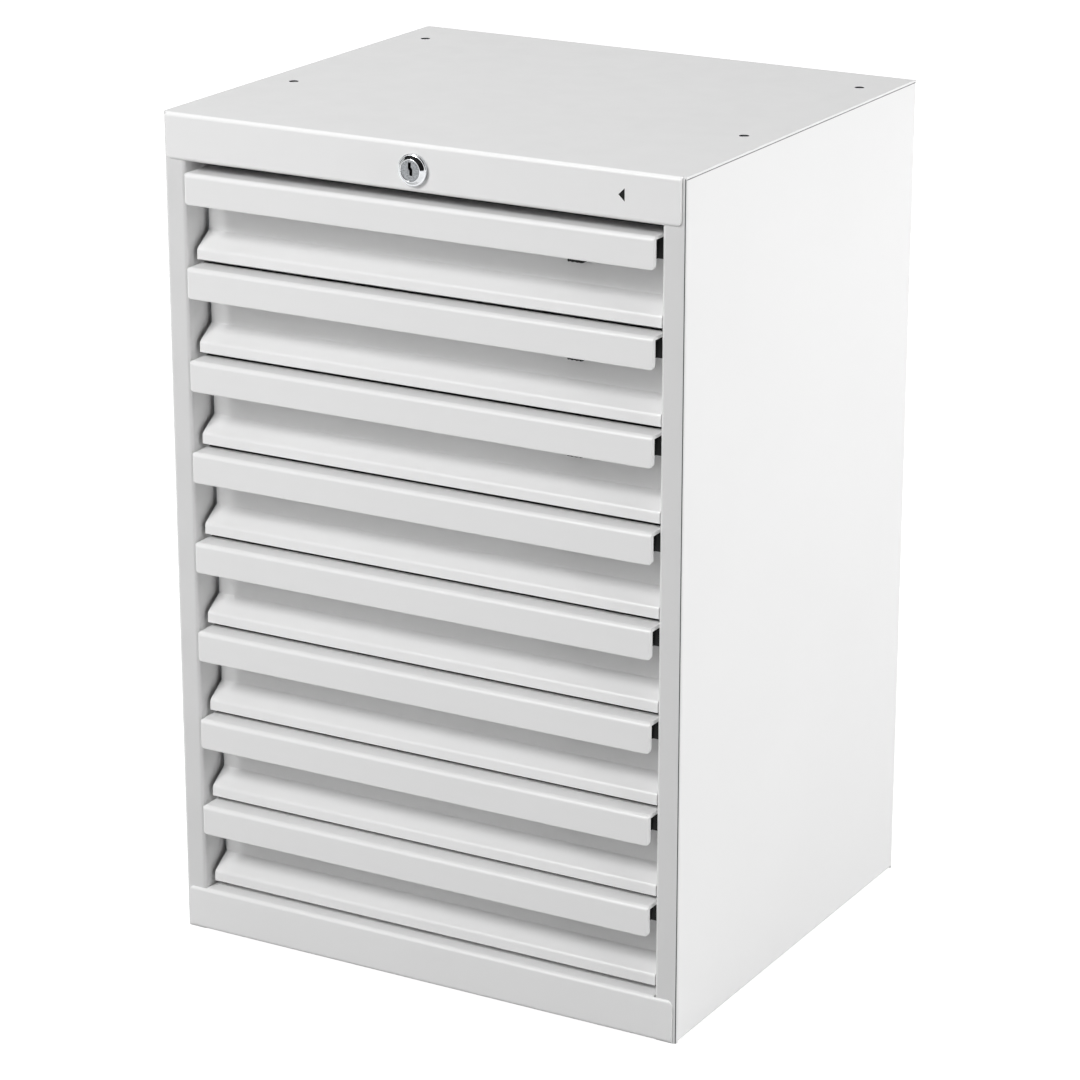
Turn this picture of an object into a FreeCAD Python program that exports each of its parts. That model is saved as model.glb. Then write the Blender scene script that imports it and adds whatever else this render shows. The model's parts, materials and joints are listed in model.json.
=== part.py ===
import FreeCAD, Part
import math
import os

# Van drawer cabinet: a white folded-steel case, 16 x 14 x 24 inches, with eight shallow drawers.
# Each drawer has a folded front with a full-width pull, a spring latch behind the right end of
# the pull, and a two-member ball slide at each side. One key lock in the header turns a long rod
# whose crank lowers a bar behind the drawers, and the bar's catches hold every drawer.
#
# Millimetres. X runs to the right, Y to the back, Z up. The origin is the middle of the bounding
# box's bottom face, on the floor. Depths are counted back from the face of the header.

V = FreeCAD.Vector

# Case
WIDTH = 406.4
DEPTH = 355.6
HEIGHT = 609.6
CASE_SHEET = 1.5
CASE_BEND = 1.5             # inner radius of the case's outer folds
CORNER_RADIUS = 5.0         # rounded lower corners of the header, upper corners of the kick plate
END_STEP = 3.0              # header and kick plate stop this far short of the side faces
FIT_GAP = 0.4               # between case pieces that pass each other
STILE_WIDTH = 17.2
STILE_RETURN = 50.0         # inner flange of a stile, which carries the slides' front ends
REAR_FLANGE = 18.0
FLOOR_FLANGE = 15.0
HEADER_HEIGHT = 33.3
HEADER_RETURN = 12.0
TOP_REAR_FLANGE = 20.0
KICK_HEIGHT = 32.5
KICK_SHELF = 26.0
KICK_FOOT = 20.0
BACK_FLANGE = 12.0
UPRIGHT_FLANGE = 28.0       # part of a rear upright that a slide is fixed to
UPRIGHT_FOOT = 20.0         # part of a rear upright that is welded to the side

# Bolt holes in the top and the floor, four each in the same pattern
HOLE_RADIUS = 3.55
HOLE_SIDE_EDGE = 23.8       # from the side face to the hole's centre
HOLE_FRONT_EDGE = 129.8
HOLE_REAR_EDGE = 45.8

# Drawers
DRAWERS = 8
DRAWER_SHEET = 1.2
HEADER_GAP = 7.1            # header down to the first pull
DRAWER_GAP = 3.6            # lip of one drawer down to the next pull
KICK_GAP = 4.3              # last lip down to the kick plate
HANDLE_HEIGHT = 22.2
HANDLE_PROUD = 3.8
HANDLE_BEND = 3.5           # outer radius along the top of the pull
HANDLE_END_BEND = 2.0       # outer radius at the ends of the pull
HANDLE_CORNER = 4.0         # radius of its lower corners
HANDLE_END_GAP = 2.4        # from the end of the pull to the stile's flange
HANDLE_END_RETURN = 0.3     # flat part of the pull's turned-in ends
FRONT_END_GAP = 3.4         # from the rest of the front to the stile's flange
RECESS_DEPTH = 24.0
LIP_DEPTH = 8.7
LIP_HEIGHT = 7.5
LIP_BEND = 2.6
RECESS_BEND = 0.8           # inner radius between the recess and the slope
LIP_RETURN = 12.0
SLOPE_RISE = 10.6
TRAY_LIFT = 4.2             # tray floor above the lip's lower edge
TRAY_DROP = 14.2            # tray rim below the top of the pull
TRAY_HEM = 8.0
TRAY_REAR_SPACE = 20.6      # tray's rear wall to the back of the case

# Ball slides
SLIDE_SPACE = 12.7          # room at each side of the tray
RAIL_SHEET = 1.2
RAIL_HEIGHT = 27.0
RAIL_LIFT = 20.0            # slide's centre above the tray floor
RAIL_FRONT_GAP = 2.8
RAIL_REAR_GAP = 2.2
RAIL_LAP = 4.6              # how far the two members' flanges pass each other
BALL_GAP = 1.5              # between the members' flanges
CAGE_SHEET = 0.7
TRAVEL_SHARE = 0.75         # share of the slide's length that the drawer comes out
CAGE_END_GAP = 3.0

# Latches
LATCH_LIFT = 1.6            # above the lower edge of the pull
LATCH_HEIGHT = 15.2
LATCH_SHEET = 3.2
LATCH_LENGTH = 78.5
LATCH_TRAVEL = 6.0
LATCH_NOSE = 2.0
LATCH_RIB_FROM_TIP = 14.5
LATCH_RIB_WIDTH = 2.0
LATCH_RIB_PROUD = 1.0
TAB_WIDTH = 12.0
TAB_DROP = 9.4              # finger tab below the latch's own lower edge
TAB_PROUD = 4.0
TAB_CHAMFER = 1.2
TAB_GRIP_DEPTH = 0.8
TAB_GRIPS = 3
STUD_SHANK = 5.0            # across flats
STUD_HEAD = 8.0             # across flats
STUD_HEAD_THICKNESS = 1.2
STUD_FROM_TIP = (28.0, 58.0)
RUN_GAP = 0.3               # between pieces that slide past each other
SLOT_GAP = 0.6

# Lock
LOCK_DROP = 17.6            # axis below the top face
LOCK_PROUD = 5.0
LOCK_RING_RADIUS = 11.0
LOCK_RING_EDGE = 1.4        # straight edge of the ring, below its cone
LOCK_LIP = 0.6              # flat lip round the plug
LOCK_BODY_RADIUS = 9.5
LOCK_LENGTH = 24.0
LOCK_PLUG_RADIUS = 7.2
LOCK_PLUG_SET_BACK = 0.3
KEYWAY_SLOT = 1.8           # width of each of the keyway's two halves
KEYWAY_JOG = 1.1            # the lower half stands this far to the right
KEYWAY_TOP = 5.6            # above the axis
KEYWAY_BOTTOM = 3.4         # below the axis
KEYWAY_LAP = 0.8            # the halves pass each other by this much
KEYWAY_DEPTH = 14.0
NUT_ACROSS_FLATS = 24.0
NUT_THICKNESS = 5.0
TURN_GAP = 0.05             # running fit, on the radius
ROD_RADIUS = 4.0
CRANK_THROW = 5.66
CRANK_DISC_RADIUS = 9.0
CRANK_DISC = 2.5
CRANK_PIN_RADIUS = 2.0
CRANK_SLOT_GAP = 0.5
BRACKET_WIDTH = 22.0
BRACKET_FLANGE = 14.0
BRACKET_BELOW_AXIS = 9.0
BRACKET_FROM_CRANK = 12.0

# Lock bar and its catches
BAR_SHEET = 2.0
BAR_WIDTH = 8.0
BAR_LEFT = -14.0            # left edge of the bar
BAR_FROM_BACK = 12.6        # bar's rear face to the back of the case
BAR_HEAD_HALF = 10.0        # bar's head above and below the lock's axis
BAR_HEAD_RIGHT = 12.0
BAR_TAIL = 22.0             # bar below the lowest catch
CATCH_LENGTH = 14.0
CATCH_HEIGHT = 5.0
CATCH_REST_GAP = 2.0        # catch above the hook's lug when unlocked
HOOK_LIFT = 16.0            # hook's arm above the tray floor
HOOK_WIDTH = 9.0
HOOK_SHEET = 3.0
HOOK_LUG = 3.6              # side of the square lug at the hook's end
HOOK_LUG_HEIGHT = 7.0
HOOK_LUG_GAP = 1.0          # lug behind the bar
HOOK_MARGIN = 1.0
GUIDE_HEIGHT = 12.0
GUIDE_FOOT = 11.0
GUIDE_LIFT = 7.0            # guide above the catch beside it

# Worked out from the sizes above
HALF = WIDTH / 2
FRONT = -(DEPTH - LOCK_PROUD) / 2
BACK = FRONT + DEPTH
STILE_FACE = FRONT + CASE_SHEET
OPENING_HALF = HALF - STILE_WIDTH
TOP_UNDER = HEIGHT - CASE_SHEET
FLOOR_TOP = 2 * CASE_SHEET
HEADER_BOTTOM = HEIGHT - HEADER_HEIGHT
STACK = HEADER_BOTTOM - KICK_HEIGHT - HEADER_GAP - KICK_GAP + DRAWER_GAP
PITCH = STACK / DRAWERS
FRONT_HEIGHT = PITCH - DRAWER_GAP
BACK_INSIDE = BACK - 2 * CASE_SHEET
HANDLE_HALF = OPENING_HALF - HANDLE_END_GAP
FRONT_HALF = OPENING_HALF - FRONT_END_GAP
RECESS = FRONT + RECESS_DEPTH
TRAY_HALF = OPENING_HALF - SLIDE_SPACE
TRAY_FRONT = RECESS + DRAWER_SHEET
TRAY_REAR = BACK - TRAY_REAR_SPACE
TRAY_HEIGHT = FRONT_HEIGHT - TRAY_LIFT - TRAY_DROP
RAIL_FRONT = TRAY_FRONT + RAIL_FRONT_GAP
RAIL_REAR = TRAY_REAR - RAIL_REAR_GAP
RAIL_LENGTH = RAIL_REAR - RAIL_FRONT
TRAVEL = RAIL_LENGTH * TRAVEL_SHARE
LOCK_AXIS = HEIGHT - LOCK_DROP
LATCH_BACK = RECESS - RUN_GAP
LATCH_FACE = LATCH_BACK - LATCH_SHEET
LATCH_TIP = OPENING_HALF - RUN_GAP
BAR_REAR = BACK - BAR_FROM_BACK
BAR_FACE = BAR_REAR - BAR_SHEET
BAR_RIGHT = BAR_LEFT + BAR_WIDTH
CRANK_FACE = BAR_FACE - RUN_GAP - CRANK_DISC
BRACKET_FACE = CRANK_FACE - BRACKET_FROM_CRANK


def box(x0, x1, y0, y1, z0, z1):
    return Part.makeBox(x1 - x0, y1 - y0, z1 - z0, V(x0, y0, z0))


def across(radius, y0, y1, x, z):
    """A cylinder along Y."""
    return Part.makeCylinder(radius, y1 - y0, V(x, y0, z), V(0, 1, 0))


def upright_cylinder(radius, z0, z1, x, y):
    return Part.makeCylinder(radius, z1 - z0, V(x, y, z0))


def hexagon(across_flats, y0, y1, x, z):
    """A hexagonal prism along Y."""
    corner = across_flats / math.sqrt(3)
    angles = [math.radians(60 * step) for step in range(6)]
    points = [V(x + corner * math.cos(a), y0, z + corner * math.sin(a)) for a in angles]
    return Part.Face(Part.makePolygon(points + points[:1])).extrude(V(0, y1 - y0, 0))


def mirrored(shape):
    return shape.mirror(V(0, 0, 0), V(1, 0, 0))


def joined(shapes):
    result = shapes[0].fuse(shapes[1:])
    return result.removeSplitter()


def in_plan(x, y):
    return V(x, y, 0)


def in_side_view(y, z):
    return V(0, y, z)


def in_front_view(x, z):
    return V(x, 0, z)


def directions(path):
    steps = [V(*b, 0) - V(*a, 0) for a, b in zip(path, path[1:])]
    return [step / step.Length for step in steps]


def moved_left(path, distance):
    """The path moved sideways to its left, with sharp corners kept sharp."""
    normals = [V(-d.y, d.x, 0) for d in directions(path)]
    shifts = [normals[0]]
    for before, after in zip(normals, normals[1:]):
        shifts.append((before + after) / (1 + before.dot(after)))
    shifts.append(normals[-1])
    return [(p[0] + s.x * distance, p[1] + s.y * distance) for p, s in zip(path, shifts)]


def rounded_edges(path, radii, view):
    """Lines along a path, with a tangent arc of its own radius at each inner corner. A radius of
    zero leaves the corner sharp."""
    edges = []
    start = V(*path[0], 0)
    steps = directions(path)
    for corner, into, out, radius in zip(path[1:-1], steps, steps[1:], radii):
        corner = V(*corner, 0)
        if radius == 0:
            edges.append(Part.LineSegment(view(start.x, start.y), view(corner.x, corner.y)).toShape())
            start = corner
            continue
        turn = math.atan2(into.cross(out).z, into.dot(out))
        reach = radius * math.tan(abs(turn) / 2)
        first = corner - into * reach
        last = corner + out * reach
        side = V(-into.y, into.x, 0) * math.copysign(radius, turn)
        centre = first + side
        middle = centre + (corner - centre) / (corner - centre).Length * radius
        edges.append(Part.LineSegment(view(start.x, start.y), view(first.x, first.y)).toShape())
        ends = [view(p.x, p.y) for p in (first, middle, last)]
        edges.append(Part.Arc(*ends).toShape())
        start = last
    edges.append(Part.LineSegment(view(start.x, start.y), view(*path[-1])).toShape())
    return edges


def fold_radius(bend, sheet, outside):
    """Radius of one skin at a fold; a fold with no bend is sharp on both skins."""
    if bend == 0:
        return 0
    return bend + sheet if outside else bend


def folded_sheet(path, sheet, bends, view, start, run):
    """A bent sheet. The path is one skin of it, the metal lies to the path's left, bends holds
    the inner radius of each fold, and the profile is moved to start and swept along run."""
    steps = directions(path)
    left = [a.cross(b).z > 0 for a, b in zip(steps, steps[1:])]
    near = [fold_radius(bend, sheet, turn) for bend, turn in zip(bends, left)]
    far = [fold_radius(bend, sheet, not turn) for bend, turn in zip(bends, left)]
    other = moved_left(path, sheet)
    edges = rounded_edges(path, near, view) + rounded_edges(other, far, view)
    for a, b in ((path[0], other[0]), (path[-1], other[-1])):
        edges.append(Part.LineSegment(view(*a), view(*b)).toShape())
    face = Part.Face(Part.Wire(Part.__sortEdges__(edges)))
    face.translate(start)
    return face.extrude(run)


def edges_at(shape, x=None, y=None, z=None):
    """Edges whose every end lies at the given places; x counts on both sides of the middle."""
    chosen = []
    for edge in shape.Edges:
        ends = [vertex.Point for vertex in edge.Vertexes]
        fits = len(ends) == 2
        for point in ends:
            if x is not None and abs(abs(point.x) - x) > 1e-4:
                fits = False
            if y is not None and abs(point.y - y) > 1e-4:
                fits = False
            if z is not None and abs(point.z - z) > 1e-4:
                fits = False
        if fits:
            chosen.append(edge)
    return chosen


def corner_tool(x, z, radius, y0, y1, up):
    """What a rounded corner takes off a plate's right corner; up is 1 for a lower corner."""
    margin = 1.0
    low, high = sorted((z - up * margin, z + up * radius))
    block = box(x - radius, x + margin, y0, y1, low, high)
    return block.cut(across(radius, y0, y1, x - radius, z + up * radius))


def round_corners(shape, x, z, radius, y0, y1, up):
    tool = corner_tool(x, z, radius, y0, y1, up)
    return shape.cut([tool, mirrored(tool)])


def hole_centres():
    x = HALF - HOLE_SIDE_EDGE
    return [(side * x, y) for side in (-1, 1) for y in (FRONT + HOLE_FRONT_EDGE, BACK - HOLE_REAR_EDGE)]


def drawer_top(number):
    return HEADER_BOTTOM - HEADER_GAP - PITCH * (number - 1)


def tray_floor(number):
    return drawer_top(number) - FRONT_HEIGHT + TRAY_LIFT


def rail_centre(number):
    return tray_floor(number) + RAIL_LIFT


def latch_bottom(number):
    return drawer_top(number) - HANDLE_HEIGHT + LATCH_LIFT


def catch_bottom(number):
    return tray_floor(number) + HOOK_LIFT + HOOK_SHEET + HOOK_LUG_HEIGHT + CATCH_REST_GAP


def side_panel():
    """Left side: wall, stile with its inner return, rear flange and floor flange, one sheet."""
    path = [
        (-HALF + REAR_FLANGE, BACK),
        (-HALF, BACK),
        (-HALF, STILE_FACE),
        (-OPENING_HALF, STILE_FACE),
        (-OPENING_HALF, STILE_FACE + STILE_RETURN),
    ]
    bends = [CASE_BEND] * 3
    wall = folded_sheet(path, CASE_SHEET, bends, in_plan, V(0, 0, 0), V(0, 0, TOP_UNDER))
    inset = 2 * CASE_SHEET
    foot = [
        (-HALF, inset + CASE_BEND),
        (-HALF, 0),
        (-HALF + FLOOR_FLANGE, 0),
    ]
    start = STILE_FACE + CASE_SHEET + CASE_BEND
    run = V(0, BACK - CASE_SHEET - CASE_BEND - start, 0)
    flange = folded_sheet(foot, CASE_SHEET, bends[:1], in_front_view, V(0, start, 0), run)
    outer = CASE_BEND + CASE_SHEET
    below = box(-HALF, -HALF + outer, start, start + run.y, 0, outer)
    return joined([wall.cut(below), flange])


def latch_slots():
    """Slots in the right stile's return where the latches' tongues shoot into the case."""
    slots = []
    for number in range(1, DRAWERS + 1):
        low = latch_bottom(number) - SLOT_GAP
        high = low + LATCH_HEIGHT + 2 * SLOT_GAP
        x = OPENING_HALF
        slots.append(box(x - 1, x + CASE_SHEET + 1, LATCH_FACE - SLOT_GAP, LATCH_BACK + SLOT_GAP, low, high))
    return slots


def top_panel():
    """Top sheet with the header folded down in front and a flange behind."""
    path = [
        (BACK, HEIGHT - TOP_REAR_FLANGE),
        (BACK, HEIGHT),
        (FRONT, HEIGHT),
        (FRONT, HEADER_BOTTOM),
        (FRONT + HEADER_RETURN, HEADER_BOTTOM),
    ]
    run = V(WIDTH, 0, 0)
    panel = folded_sheet(path, CASE_SHEET, [CASE_BEND] * 3, in_side_view, V(-HALF, 0, 0), run)
    bend = CASE_SHEET + CASE_BEND
    margin = 1.0
    header_half = HALF - END_STEP
    return_half = OPENING_HALF - FIT_GAP
    rear_half = HALF - REAR_FLANGE - FIT_GAP
    ends = box(header_half, HALF + margin, FRONT - margin, FRONT + bend,
               HEADER_BOTTOM - margin, HEIGHT + margin)
    behind = box(return_half, HALF + margin, FRONT + CASE_SHEET, FRONT + HEADER_RETURN + margin,
                 HEADER_BOTTOM - margin, TOP_UNDER - CASE_BEND)
    under = box(return_half, HALF + margin, FRONT - margin, FRONT + bend, TOP_UNDER - CASE_BEND, TOP_UNDER)
    under = under.cut(box(0, WIDTH, FRONT - margin, STILE_FACE, 0, HEIGHT))
    rear = box(rear_half, HALF + margin, BACK - bend, BACK + margin, 0, TOP_UNDER)
    tools = [ends, behind, under, rear]
    panel = panel.cut(tools + [mirrored(tool) for tool in tools])
    panel = round_corners(panel, header_half, HEADER_BOTTOM, CORNER_RADIUS, FRONT, STILE_FACE, 1)
    holes = [upright_cylinder(HOLE_RADIUS, TOP_UNDER, HEIGHT, x, y) for x, y in hole_centres()]
    holes.append(across(LOCK_BODY_RADIUS + TURN_GAP, FRONT, STILE_FACE, 0, LOCK_AXIS))
    return panel.cut(holes)


def kick_plate():
    """Plinth below the drawers, with a shelf flange at its top and a foot flange below."""
    path = [
        (FRONT + KICK_SHELF, KICK_HEIGHT),
        (FRONT, KICK_HEIGHT),
        (FRONT, 0),
        (FRONT + KICK_FOOT, 0),
    ]
    half = HALF - END_STEP
    run = V(2 * half, 0, 0)
    plate = folded_sheet(path, CASE_SHEET, [CASE_BEND] * 2, in_side_view, V(-half, 0, 0), run)
    margin = 1.0
    between = OPENING_HALF - FIT_GAP
    reach = FRONT + max(KICK_SHELF, KICK_FOOT) + margin
    tool = box(between, HALF, FRONT + CASE_SHEET, reach, -margin, KICK_HEIGHT + margin)
    plate = plate.cut([tool, mirrored(tool)])
    return round_corners(plate, half, KICK_HEIGHT, CORNER_RADIUS, FRONT, STILE_FACE, -1)


def back_panel():
    half = HALF - CASE_SHEET - CASE_BEND
    face = BACK - CASE_SHEET
    path = [
        (face - BACK_FLANGE, FLOOR_TOP),
        (face, FLOOR_TOP),
        (face, TOP_UNDER),
        (face - BACK_FLANGE, TOP_UNDER),
    ]
    run = V(2 * half, 0, 0)
    return folded_sheet(path, CASE_SHEET, [CASE_BEND] * 2, in_side_view, V(-half, 0, 0), run)


def floor_panel():
    """Floor sheet on the side panels' floor flanges, notched round the stiles' returns."""
    half = HALF - CASE_SHEET - CASE_BEND
    front = FRONT + CASE_SHEET + CASE_BEND
    panel = box(-half, half, front, BACK - CASE_SHEET, CASE_SHEET, FLOOR_TOP)
    notch = box(OPENING_HALF - FIT_GAP, half + 1, front, STILE_FACE + STILE_RETURN + FIT_GAP, 0, HEIGHT)
    holes = [upright_cylinder(HOLE_RADIUS, 0, FLOOR_TOP, x, y) for x, y in hole_centres()]
    return panel.cut([notch, mirrored(notch)] + holes)


def rear_uprights():
    """U-shaped posts inside the rear corners, which carry the slides' rear ends."""
    wall = -HALF + CASE_SHEET
    face = RAIL_REAR - UPRIGHT_FLANGE
    path = [
        (wall, face + UPRIGHT_FOOT),
        (wall, face),
        (-OPENING_HALF, face),
        (-OPENING_HALF, face + UPRIGHT_FLANGE),
    ]
    run = V(0, 0, TOP_UNDER - FLOOR_TOP)
    left = folded_sheet(path, CASE_SHEET, [0, 0], in_plan, V(0, 0, FLOOR_TOP), run)
    return [left, mirrored(left)]


def case_rail(number):
    """Outer member of a right-hand slide: a channel that is open towards the tray."""
    half = RAIL_HEIGHT / 2
    cage_web = CAGE_SHEET + 2 * FIT_GAP
    inner_tip = OPENING_HALF - RAIL_SHEET - cage_web
    tip = inner_tip - RAIL_LAP
    path = [(tip, -half), (OPENING_HALF, -half), (OPENING_HALF, half), (tip, half)]
    start = V(0, RAIL_FRONT, rail_centre(number))
    return folded_sheet(path, RAIL_SHEET, [0, 0], in_front_view, start, V(0, RAIL_LENGTH, 0))


def drawer_rail(number):
    """Inner member of a right-hand slide, fixed to the tray's side and open outwards."""
    half = RAIL_HEIGHT / 2 - RAIL_SHEET - BALL_GAP
    tip = OPENING_HALF - RAIL_SHEET - CAGE_SHEET - 2 * FIT_GAP
    path = [(tip, half), (TRAY_HALF, half), (TRAY_HALF, -half), (tip, -half)]
    start = V(0, RAIL_FRONT, rail_centre(number))
    return folded_sheet(path, RAIL_SHEET, [0, 0], in_front_view, start, V(0, RAIL_LENGTH, 0))


def ball_cage(number):
    """Retainer between the two members, which travels half as far as the drawer."""
    web = OPENING_HALF - RAIL_SHEET - FIT_GAP
    half = RAIL_HEIGHT / 2 - RAIL_SHEET - (BALL_GAP - CAGE_SHEET) / 2
    tip = web - CAGE_SHEET - FIT_GAP - RAIL_LAP
    path = [(tip, -half), (web, -half), (web, half), (tip, half)]
    start = V(0, RAIL_FRONT + TRAVEL / 2 + CAGE_END_GAP, rail_centre(number))
    length = RAIL_LENGTH - TRAVEL - 2 * CAGE_END_GAP
    return folded_sheet(path, CAGE_SHEET, [0, 0], in_front_view, start, V(0, length, 0))


def hook(number):
    """Arm welded to the tray's rear wall, and the lug that a catch drops in front of."""
    low = tray_floor(number) + HOOK_LIFT
    top = low + HOOK_SHEET
    right = BAR_RIGHT + CATCH_LENGTH - HOOK_MARGIN
    left = right - HOOK_WIDTH
    face = BAR_REAR + HOOK_LUG_GAP
    end = face + HOOK_LUG
    middle = (left + right) / 2
    arm = box(left, right, TRAY_REAR, end, low, top)
    lug = box(middle - HOOK_LUG / 2, middle + HOOK_LUG / 2, face, end, top, top + HOOK_LUG_HEIGHT)
    return [arm, lug]


def drawer_fittings(number):
    rail = drawer_rail(number)
    return [rail, mirrored(rail)] + hook(number)


def eased_block(half, y0, y1, z0, z1, front, end, fillet):
    """A block eased along its top front edge by one size, and along its front ends and its upper
    side corners by another, with fillets or with plain chamfers."""
    margin = 1.0
    length = y1 - y0
    height = z1 - z0
    top = box(-half, half, y0, y1, z0, z1)
    ends = box(-half, half, y0, y1, z0 - margin, z1 + margin)
    sides = box(-half, half, y0 - margin, y1 + margin, z0, z1)
    chosen = [
        (top, front, edges_at(top, y=y0, z=z1)),
        (ends, end, [edge for edge in edges_at(ends, x=half, y=y0) if edge.Length > height]),
        (sides, end, [edge for edge in edges_at(sides, x=half, z=z1) if edge.Length > length]),
    ]
    eased = [shape.makeFillet(size, edges) if fillet else shape.makeChamfer(size, edges)
             for shape, size, edges in chosen]
    return eased[0].common(eased[1]).common(eased[2])


def pull(top):
    """The pull: a pressed channel rounded on every outer edge, with its ends just turned in."""
    low = top - HANDLE_HEIGHT
    face = FRONT - HANDLE_PROUD
    rear = RECESS - HANDLE_BEND
    margin = 1.0
    sheet = DRAWER_SHEET
    share = 2 - math.sqrt(2)
    outside = eased_block(HANDLE_HALF, face, rear, low, top, HANDLE_BEND, HANDLE_END_BEND, True)
    inside = eased_block(HANDLE_HALF - sheet, face + sheet, rear + margin, low - margin, top - sheet,
                         (HANDLE_BEND - sheet) * share, (HANDLE_END_BEND - sheet) * share, False)
    shell = outside.cut(inside)
    end = box(HANDLE_HALF - HANDLE_END_BEND, HALF, face + HANDLE_END_BEND + HANDLE_END_RETURN,
              rear + margin, low - margin, top - HANDLE_END_BEND)
    shell = shell.cut([end, mirrored(end)])
    return round_corners(shell, HANDLE_HALF, low, HANDLE_CORNER, face, rear, 1)


def drawer_front(number):
    """Pull, recess, slope and lip in one folded sheet, with two shoulder screws for the latch."""
    top = drawer_top(number)
    bottom = top - FRONT_HEIGHT
    lip_top = bottom + LIP_HEIGHT
    lip = FRONT + LIP_DEPTH
    under = top - DRAWER_SHEET
    path = [
        (RECESS - 2 * HANDLE_BEND, under),
        (RECESS, under),
        (RECESS, lip_top + SLOPE_RISE),
        (lip, lip_top),
        (lip, bottom),
        (lip + LIP_RETURN, bottom),
    ]
    bends = [0, RECESS_BEND, LIP_BEND, 0]
    run = V(2 * FRONT_HALF, 0, 0)
    lower = folded_sheet(path, DRAWER_SHEET, bends, in_side_view, V(-FRONT_HALF, 0, 0), run)
    sheet = joined([pull(top), lower])
    middle = latch_bottom(number) + LATCH_HEIGHT / 2
    screws = []
    for offset in STUD_FROM_TIP:
        x = LATCH_TIP - offset
        face = LATCH_FACE - RUN_GAP
        shank = hexagon(STUD_SHANK, face, RECESS, x, middle)
        head = hexagon(STUD_HEAD, face - STUD_HEAD_THICKNESS, face, x, middle)
        screws.append(joined([shank, head]))
    return [sheet] + screws


def tray(number):
    """Folded and welded tray with an inward hem along its rim."""
    low = tray_floor(number)
    high = low + TRAY_HEIGHT
    margin = 1.0

    def block(inset, z0, z1):
        half = TRAY_HALF - inset
        return box(-half, half, TRAY_FRONT + inset, TRAY_REAR - inset, z0, z1)

    sheet = DRAWER_SHEET
    inside = block(sheet, low + sheet, high - TRAY_HEM)
    mouth = block(2 * sheet, high - TRAY_HEM, high + margin)
    return block(0, low, high).cut([inside, mouth])


def latch(number):
    """Black moulded slider: tongue at the right, finger tab at the left, slots for the screws."""
    low = latch_bottom(number)
    high = low + LATCH_HEIGHT
    left = LATCH_TIP - LATCH_LENGTH
    bar = box(left, LATCH_TIP, LATCH_FACE, LATCH_BACK, low, high)
    rib_x = LATCH_TIP - LATCH_RIB_FROM_TIP
    rib = box(rib_x, rib_x + LATCH_RIB_WIDTH, LATCH_FACE - LATCH_RIB_PROUD, LATCH_FACE, low, high)
    tab_face = LATCH_FACE - TAB_PROUD
    tab = box(left, left + TAB_WIDTH, tab_face, LATCH_BACK, low - TAB_DROP, high)
    tab = tab.makeChamfer(TAB_CHAMFER, [edge for edge in edges_at(tab, y=tab_face) if edge.Length > TAB_WIDTH])
    body = joined([bar, rib, tab])
    nose = [
        V(LATCH_TIP, LATCH_BACK - LATCH_NOSE, 0),
        V(LATCH_TIP, LATCH_BACK, 0),
        V(LATCH_TIP - LATCH_NOSE, LATCH_BACK, 0),
    ]
    wedge = Part.Face(Part.makePolygon(nose + nose[:1])).extrude(V(0, 0, LATCH_HEIGHT))
    wedge.translate(V(0, 0, low))
    cuts = [wedge]
    middle = (low + high) / 2
    side = STUD_SHANK / math.sqrt(3) + RUN_GAP
    reach = STUD_SHANK / 2 + RUN_GAP
    for offset in STUD_FROM_TIP:
        x = LATCH_TIP - offset
        cuts.append(box(x - side, x + LATCH_TRAVEL + side, LATCH_FACE, LATCH_BACK,
                        middle - reach, middle + reach))
    grip = TAB_WIDTH / (2 * TAB_GRIPS + 1)
    for index in range(TAB_GRIPS):
        x = left + grip * (2 * index + 1)
        cuts.append(box(x, x + grip, tab_face, tab_face + TAB_GRIP_DEPTH, low - TAB_DROP, low))
    return body.cut(cuts)


def lock_housing():
    """Chrome cylinder with a coned ring in front of the header."""
    bore = LOCK_PLUG_RADIUS + TURN_GAP
    face = FRONT - LOCK_PROUD
    end = FRONT + LOCK_LENGTH
    outline = [
        (bore, face),
        (bore + LOCK_LIP, face),
        (LOCK_RING_RADIUS, FRONT - LOCK_RING_EDGE),
        (LOCK_RING_RADIUS, FRONT),
        (LOCK_BODY_RADIUS, FRONT),
        (LOCK_BODY_RADIUS, end),
        (bore, end),
    ]
    points = [V(r, y, LOCK_AXIS) for r, y in outline]
    section = Part.Face(Part.makePolygon(points + points[:1]))
    return section.revolve(V(0, 0, LOCK_AXIS), V(0, 1, 0), 360)


def lock_nut():
    """Hexagon nut that clamps the housing behind the header."""
    end = STILE_FACE + NUT_THICKNESS
    body = hexagon(NUT_ACROSS_FLATS, STILE_FACE, end, 0, LOCK_AXIS)
    return body.cut(across(LOCK_BODY_RADIUS + TURN_GAP, STILE_FACE, end, 0, LOCK_AXIS))


def lock_plug():
    """Turning plug with its stepped keyway, upright when unlocked."""
    face = FRONT - LOCK_PROUD + LOCK_PLUG_SET_BACK
    end = face + KEYWAY_DEPTH
    plug = across(LOCK_PLUG_RADIUS, face, FRONT + LOCK_LENGTH, 0, LOCK_AXIS)
    left = -(KEYWAY_SLOT + KEYWAY_JOG) / 2
    top = LOCK_AXIS + KEYWAY_TOP
    bottom = LOCK_AXIS - KEYWAY_BOTTOM
    middle = (top + bottom) / 2
    upper = box(left, left + KEYWAY_SLOT, face, end, middle - KEYWAY_LAP / 2, top)
    lower = box(left + KEYWAY_JOG, left + KEYWAY_JOG + KEYWAY_SLOT, face, end, bottom, middle + KEYWAY_LAP / 2)
    return plug.cut([upper, lower])


def crank_pin_place():
    """Where the crank pin stands when unlocked: 45 degrees up to the right."""
    offset = CRANK_THROW / math.sqrt(2)
    return offset, LOCK_AXIS + offset


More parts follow.
